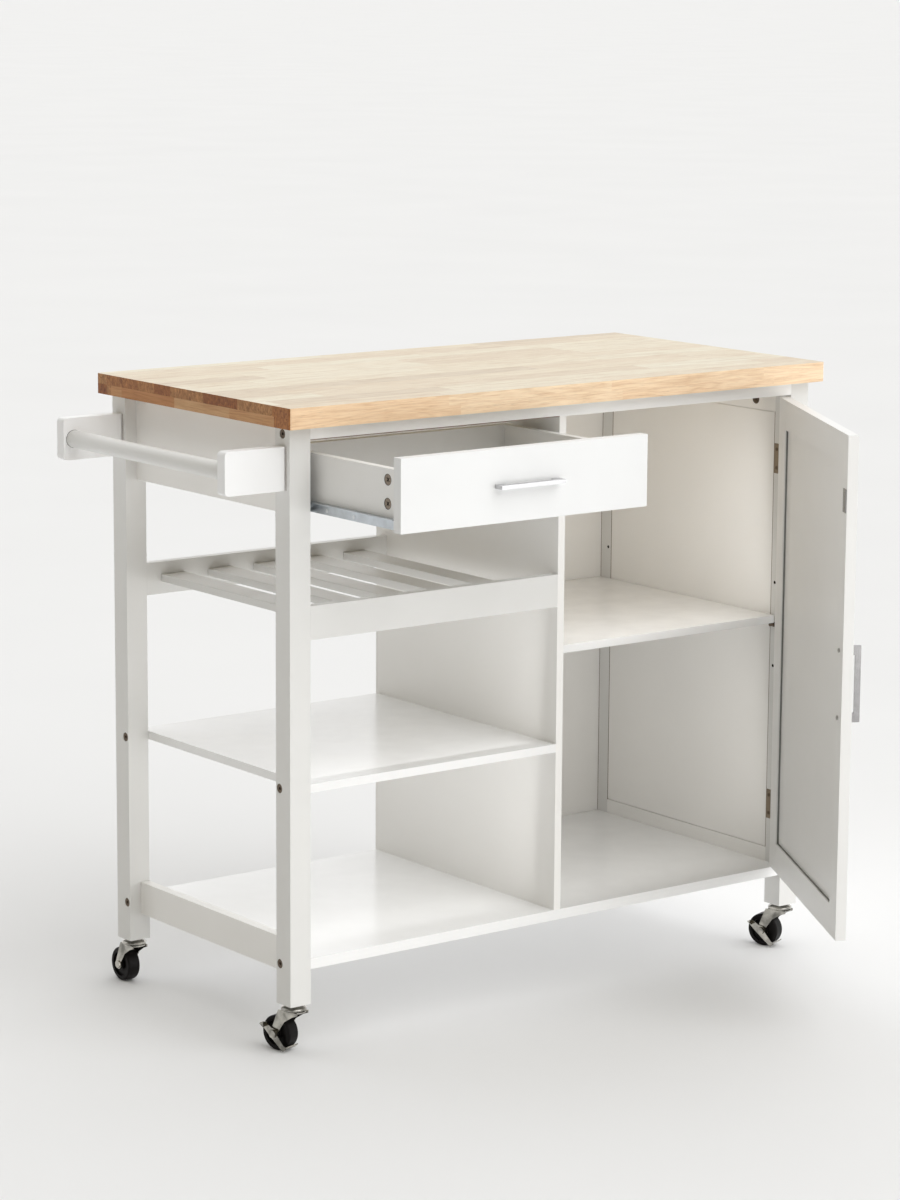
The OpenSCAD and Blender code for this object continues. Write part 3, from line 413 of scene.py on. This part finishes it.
def dress_frame():
    """The lacquered frame, boards, shelves, drawer and door, and the worktop."""
    along = [white_lacquer(f"lacquer_{'xyz'[axis]}", FRAME_WHITE, axis) for axis in range(3)]
    legs = ("leg_front_left", "leg_front_right", "leg_back_left", "leg_back_right")
    dress_each(legs, along[2], 0.8)
    dress_each(("top_rail_back", "rack_rail_front", "rack_rail_back"), along[0], 0.7)
    # Painted light: the front top rail takes the paler shelf white against the shade under the
    # worktop's overhang.
    dress("top_rail_front", white_lacquer("lacquer_rail", SHELF_WHITE, 0), 0.7)
    dress("rack_slats", along[1], 0.7)
    # Painted light: the left lower rail is tinted paler than the frame white.
    dress("lower_rail_left", white_lacquer("lacquer_low_rail", BOARD_WHITE, 1), 0.7)
    dress("drawer_front", white_lacquer("lacquer_front", FRONT_WHITE), 0.9)
    # Painted light: the towel brackets are tinted paler than the frame white.
    bracket = white_lacquer("lacquer_bracket", BRACKET_WHITE)
    dress_each(("towel_bracket_front", "towel_bracket_back"), bracket, 0.9)
    dress("towel_bar", along[1], 0.4)
    shelf = white_lacquer("lacquer_shelf", SHELF_WHITE, gloss=0.22)
    dress_each(("bottom_shelf", "left_shelf", "cupboard_shelf"), shelf, 0.5)
    board = white_lacquer("lacquer_board", BOARD_WHITE)
    boards = ("side_apron_left", "side_panel_right", "upper_rail_right", "lower_rail_right")
    dress_each((*boards, "back_apron", "divider", "back_panel"), board, 0.5)
    # Painted shade: the drawer box and the door are tinted darker than the board white.
    leaf = white_lacquer("lacquer_leaf", LEAF_WHITE)
    drawer = ("drawer_side_left", "drawer_side_right", "drawer_back", "drawer_bottom")
    dress_each(drawer, leaf, 0.5)
    door = ("door_stile_hinge", "door_stile_handle", "door_rail_top", "door_rail_bottom")
    dress_each((*door, "door_panel"), leaf, 0.5)
    dress("worktop", worktop_wood(), 1.6, 3)


def dress_fittings():
    """Handles, runners, hinges, fixings, catch and casters."""
    dress("drawer_handle", metal("satin_aluminium", (0.60, 0.60, 0.61), 0.30, brushed=0), 0.5)
    # Painted shade: the door handle is the drawer's satin aluminium, coloured darker for its side
    # in shade.
    upright = metal("satin_aluminium_painted_shade", (0.27, 0.265, 0.265), 0.24, brushed=2)
    dress("door_handle", upright, 0.5)
    runner = metal("runner_steel", (0.60, 0.64, 0.68), 0.34)
    dress_each(("cabinet_runners", "drawer_runners"), runner, 0.15, 1)
    dress("door_fixings", metal("screw_zinc", (0.46, 0.45, 0.43), 0.3), 0.2, 1)
    bronze = metal("dark_bronze", (0.15, 0.115, 0.085), 0.38)
    dress_each(("frame_bolts", "carcass_fixings", "shelf_pins"), bronze, 0.2, 1)
    dress("drawer_fixings", fixing_metal(), 0.2, 1)
    hinge = metal("hinge_bronze", (0.30, 0.24, 0.18), 0.36)
    dress_each(("hinge_leaves_frame", "hinge_leaves_door"), hinge, 0.15, 1)
    dress("strike_plate", metal("strike_steel", (0.34, 0.34, 0.34), 0.3), 0.15, 1)
    # Painted reflection: the zinc's dark clouds stand in for dark parts of the room seen in the
    # chrome.
    zinc = metal("zinc_plate_painted_reflection", (0.60, 0.58, 0.53), 0.15, mottle_and_reflection_dark=0.38)
    dress_each(("caster_stems", "caster_brake_fl", "caster_brake_fr"), zinc, 0.3)
    wheel = plastic("wheel_plastic", (0.005, 0.004, 0.004), 0.38, shine=0.12)
    for corner in ("fl", "fr", "bl", "br"):
        dress("caster_fork_" + corner, zinc, 0.4)
        dress("caster_wheel_" + corner, wheel)
    nylon = plastic("roller_nylon", (0.80, 0.80, 0.78), 0.4)
    dress_each(("front_rollers", "rear_rollers"), nylon, 0.3)
    dress("magnetic_catch", plastic("catch_plastic", (0.82, 0.82, 0.81), 0.42), 0.5)


# ---- Seams, rings and holes ----


def finish(piece, material, body):
    """Gives a new piece its material, and lets it move with a body."""
    piece.data.materials.append(material)
    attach(piece, body)


def slab(name, body, low, high, material, place=None):
    """A thin strip between two corners, which moves with a body."""
    bpy.ops.mesh.primitive_cube_add(size=1, location=(low + high) / 2)
    strip = bpy.context.object
    strip.name = name
    strip.scale = high - low
    bpy.ops.object.transform_apply(location=True, rotation=True, scale=True)
    if place is not None:
        strip.data.transform(place)
    soften = strip.modifiers.new("edges", "BEVEL")
    soften.width = 0.05 * MM
    finish(strip, material, body)


def hollow_frame(name, body, low, high, inset, depth, material, place=None):
    """Four strips along a rectangle. The rectangle is flat along the axis where low and high
    meet, inset is the strips' width, and depth says where they start and end on that axis."""
    flat = min(range(3), key=lambda axis: abs(high[axis] - low[axis]))
    first, second = [axis for axis in range(3) if axis != flat]
    for axis, other in ((first, second), (second, first)):
        for end in (0, 1):
            start, stop = low.copy(), high.copy()
            start[flat], stop[flat] = depth
            if end:
                start[axis] = high[axis] - inset
            else:
                stop[axis] = low[axis] + inset
            label = f"{name}_{'xyz'[other]}{end}"
            slab(label, body, start, stop, material, place)


def door_swing():
    """The turn from the closed door to the door as stored, and its inverse."""
    joint = next(joint for joint in frame["joints"] if joint["name"] == "door_hinge")
    pin = Matrix.Translation(Vector(joint["pos_m"]))
    swing = pin @ Matrix.Rotation(-math.radians(joint["range_deg"][0]), 4, "Z") @ pin.inverted()
    return swing, swing.inverted()


def closed_box(node, close):
    """The corners of a door node's box with the door closed."""
    points = [close @ vertex.co for vertex in NODES[node].data.vertices]
    low = Vector([min(point[axis] for point in points) for axis in range(3)])
    high = Vector([max(point[axis] for point in points) for axis in range(3)])
    return low, high


def face_strip(name, low, high, material):
    """A strip on the cart that stands a hair proud of the face behind it."""
    slab(name, "cart", Vector(low), Vector(high), material)


def seams():
    """Thin brown strips: bare board edges where the side panel and the back panel meet the frame,
    and painted shade in the towel brackets' joints with the legs and along the front top rail's
    lower edge.
    """
    bare = plastic("bare_edge_and_painted_shade", (0.15, 0.085, 0.05), 0.6, texture=900)
    proud, sunk = 0.06 * MM, 0.2 * MM
    low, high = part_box("side_panel_right")
    groove = 1.1 * MM
    for end, y in (("front", low.y), ("back", high.y - groove)):
        start, stop = (low.x + 0.12 * MM, y, low.z), (low.x + 1.45 * MM, y + groove, high.z)
        face_strip("panel_seam_" + end, start, stop, bare)
    leg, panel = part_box("leg_back_right")[0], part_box("back_panel")[0]
    rail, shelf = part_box("top_rail_front")[0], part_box("bottom_shelf")[1]
    start = (leg.x - proud, panel.y - 0.9 * MM, shelf.z + 0.2 * MM)
    face_strip("leg_seam", start, (leg.x + sunk, panel.y, rail.z), bare)
    # Painted shade: a brown line along the front top rail's lower edge, for the dark inside seen
    # below it.
    start = (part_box("leg_front_left")[1].x, rail.y - proud, rail.z)
    stop = (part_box("divider")[0].x, rail.y + 0.4 * MM, rail.z + 1.1 * MM)
    face_strip("rail_seam", start, stop, bare)
    # Painted shade: brown lines in the joints where the towel brackets meet the legs.
    for end in ("front", "back"):
        low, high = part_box("towel_bracket_" + end)
        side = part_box(f"leg_{end}_left")[0].x
        start, stop = (side - proud, low.y - 1.0 * MM, low.z), (side + sunk, low.y, high.z)
        face_strip("bracket_seam_" + end, start, stop, bare)


def door_seams():
    """The shade in the gap round the door's panel."""
    shade = plastic("door_seam", (0.17, 0.17, 0.165), 0.5, texture=900)
    swing, close = door_swing()
    face = closed_box("door_panel", close)[1].y
    left = closed_box("door_stile_handle", close)[1].x
    right = closed_box("door_stile_hinge", close)[0].x
    bottom = closed_box("door_rail_bottom", close)[1].z
    top = closed_box("door_rail_top", close)[0].z
    depth = (face - 0.05 * MM, face + 2.6 * MM)
    low, high = Vector((left, face, bottom)), Vector((right, face, top))
    hollow_frame("door_seam", "door", low, high, 0.3 * MM, depth, shade, swing)


def ring(name, body, centre, axis, radius, material):
    """A thin dark ring of painted shade round an X or Y axis, where a bore's edge shows."""
    turn = (0, math.pi / 2, 0) if axis == 0 else (math.pi / 2, 0, 0)
    bpy.ops.mesh.primitive_torus_add(
        major_radius=radius, minor_radius=0.4 * MM, major_segments=48, minor_segments=8,
        location=centre, rotation=turn,
    )
    loop = bpy.context.object
    loop.name = name
    finish(loop, material, body)


def cam_rings(shade):
    """Dark rings of painted shade round the cam locks on both of the drawer's sides."""
    left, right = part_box("drawer_side_left")[0].x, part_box("drawer_side_right")[1].x
    sunk = left + 0.3 * MM  # the cam locks' faces
    points = [vertex.co for vertex in NODES["drawer_fixings"].data.vertices]
    face = [point for point in points if abs(point.x - sunk) < 0.05 * MM]
    middle = midpoint([point.z for point in face])
    y = midpoint([point.y for point in face])
    lower = [point.z for point in face if point.z < middle]
    upper = [point.z for point in face if point.z > middle]
    for level, heights in (("low", lower), ("high", upper)):
        z, radius = midpoint(heights), (max(heights) - min(heights)) / 2
        ring(f"cam_ring_left_{level}", "drawer", (left + 0.2 * MM, y, z), 0, radius, shade)
        ring(f"cam_ring_right_{level}", "drawer", (right - 0.2 * MM, y, z), 0, radius, shade)


def midpoint(values):
    return (min(values) + max(values)) / 2


def bar_rings(shade):
    """Dark rings of painted shade where the towel bar enters its brackets."""
    low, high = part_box("towel_bar")
    radius = (high.z - low.z) / 2
    for end, corner in (("front", 1), ("back", 0)):
        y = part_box("towel_bracket_" + end)[corner].y
        centre = ((low.x + high.x) / 2, y, (low.z + high.z) / 2)
        ring("bar_ring_" + end, "cart", centre, 1, radius, shade)


def rings():
    shade = plastic("ring_shade", (0.03, 0.024, 0.018), 0.5, texture=900, shine=0.3)
    cam_rings(shade)
    bar_rings(shade)


def pin_holes():
    """Dark discs of painted shade inside the free pin holes, above and below the row that holds
    the shelf.
    """
    low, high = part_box("shelf_pins")
    pin_in, collar, pitch = 8 * MM, 4 * MM, 64 * MM
    inside = pin_in - 0.7 * MM
    shade = plastic("hole_shade", (0.012, 0.010, 0.008), 0.6, texture=900, shine=0.2)
    row = (low.z + high.z) / 2
    for side, x in (("left", low.x + inside), ("right", high.x - inside)):
        for end, y in (("front", low.y + collar), ("back", high.y - collar)):
            for level, z in (("low", row - pitch), ("high", row + pitch)):
                disc(f"hole_{side}_{end}_{level}", (x, y, z), shade)


def disc(name, centre, material):
    """A disc as wide as a pin hole, with its flat side along X."""
    bpy.ops.mesh.primitive_cylinder_add(
        vertices=24, radius=2.5 * MM, depth=0.5 * MM, location=centre, rotation=(0, math.pi / 2, 0)
    )
    piece = bpy.context.object
    piece.name = name
    finish(piece, material, "cart")


# ---- Stage ----


def floor():
    """A wide pale floor."""
    material, tree, shader = start_material("floor_paper")
    clouds = noise(tree, stretched(tree, (1.3, 1.3, 1.3)), detail=3)
    pale, paler = (0.80, 0.80, 0.80), (0.815, 0.815, 0.815)
    put(tree, shader.inputs["Base Color"], ramp(tree, clouds, [(0.3, pale), (0.7, paler)]))
    shader.inputs["Roughness"].default_value = 0.75
    shader.inputs["Specular IOR Level"].default_value = 0.2
    bpy.ops.mesh.primitive_plane_add(size=400, location=(0, 0, 0))
    plane = bpy.context.object
    plane.name = "floor"
    plane.data.materials.append(material)


def studio_world():
    """A white room: bright behind and to the right, dim and warmer on the left and in front."""
    world = bpy.data.worlds.new("studio")
    bpy.context.scene.world = world
    world.use_nodes = True
    tree = world.node_tree
    x, y, _ = split(tree, tree.nodes.new("ShaderNodeTexCoord").outputs["Generated"])
    across = math_node(tree, "MULTIPLY_ADD", x, 0.43, 0.5)
    across = math_node(tree, "MULTIPLY_ADD", y, 0.22, across)
    walls = [
        (0.0, (0.10, 0.085, 0.06)),
        (0.28, (0.255, 0.235, 0.18)),
        (0.5, (0.90, 0.905, 0.91)),
        (0.75, (1.0, 1.0, 1.0)),
    ]
    background = tree.nodes["Background"]
    put(tree, background.inputs["Color"], ramp(tree, across, walls))
    background.inputs["Strength"].default_value = 1.18


def lights():
    """A large soft window, a low card in front, and faint cards for the dark insides."""
    studio_world()
    data = bpy.data.lights.new("window", "SUN")
    data.energy = 1.12
    data.angle = math.radians(58)
    data.color = (0.985, 0.99, 1.0)
    hang("window", data, (0, 0, 0), (-0.10, 0.64, -0.72))
    card("low card", (0.5, -2.6, 0.35), (0, 2.8, 0.2), (3.0, 0.6), 12)
    inside_cards()


def inside_cards():
    """The cupboard, the bays and the floor under the cart are deep or low, so faint cards in
    their openings stand in for light from the room."""
    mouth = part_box("leg_front_right")[1].y - 6 * MM
    door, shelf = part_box("door_panel"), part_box("cupboard_shelf")
    middle = (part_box("divider")[1].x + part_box("leg_front_right")[0].x) / 2
    upper, lower = (shelf[1].z + door[1].z) / 2, (door[0].z + shelf[0].z) / 2
    for name, z, watts in (("upper", upper, 0.29), ("lower", lower, 0.18)):
        place = (middle, mouth, z)
        data = card(name + " doorway card", place, (0, 1, -0.1), (0.36, 0.28), watts)
        data.color = (1.0, 0.985, 0.96)
    low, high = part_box("left_shelf")
    place = ((low.x + high.x) / 2, mouth, high.z)
    card("bay card", place, (0, 1, 0.05), (0.38, 0.42), 0.28)
    low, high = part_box("bottom_shelf")
    place = ((low.x + high.x) / 2, (low.y + high.y) / 2, low.z - 4 * MM)
    card("under card", place, (0, 0, -1), (0.84, 0.4), 0.25)


def card(name, place, direction, size, watts):
    """A soft rectangular light that shines along a direction. Returns its data."""
    data = bpy.data.lights.new(name, "AREA")
    data.shape = "RECTANGLE"
    data.size, data.size_y = size
    data.energy = watts
    hang(name, data, place, direction).visible_camera = False
    return data


def hang(name, data, place, direction):
    """Puts a light in the scene, turned to shine along a direction."""
    lamp = bpy.data.objects.new(name, data)
    lamp.location = place
    lamp.rotation_euler = Vector(direction).to_track_quat("-Z", "Y").to_euler()
    bpy.context.scene.collection.objects.link(lamp)
    return lamp


def camera():
    """The eye, its heading and tilt, and its focal length on the frame's long side."""
    azimuth = math.radians(37.15)
    down = math.radians(10.44)
    roll = math.radians(0.37)
    ahead = math.cos(down)
    forward = Vector((math.sin(azimuth) * ahead, math.cos(azimuth) * ahead, -math.sin(down)))
    level = Vector((math.cos(azimuth), -math.sin(azimuth), 0))
    upright = level.cross(forward)
    right = math.cos(roll) * level + math.sin(roll) * upright
    up = math.cos(roll) * upright - math.sin(roll) * level
    turn = Matrix((right, up, -forward)).transposed().to_4x4()
    data = bpy.data.cameras.new("camera")
    data.lens = 107.7
    data.sensor_width = 36
    eye = bpy.data.objects.new("camera", data)
    eye.matrix_world = Matrix.Translation((-3.1329, -3.9830, 1.5217)) @ turn
    bpy.context.scene.collection.objects.link(eye)
    bpy.context.scene.camera = eye


dress_frame()
dress_fittings()
seams()
door_seams()
rings()
pin_holes()
floor()
lights()
camera()
bpy.context.scene.view_settings.view_transform = "Standard"

bpy.context.view_layer.update()
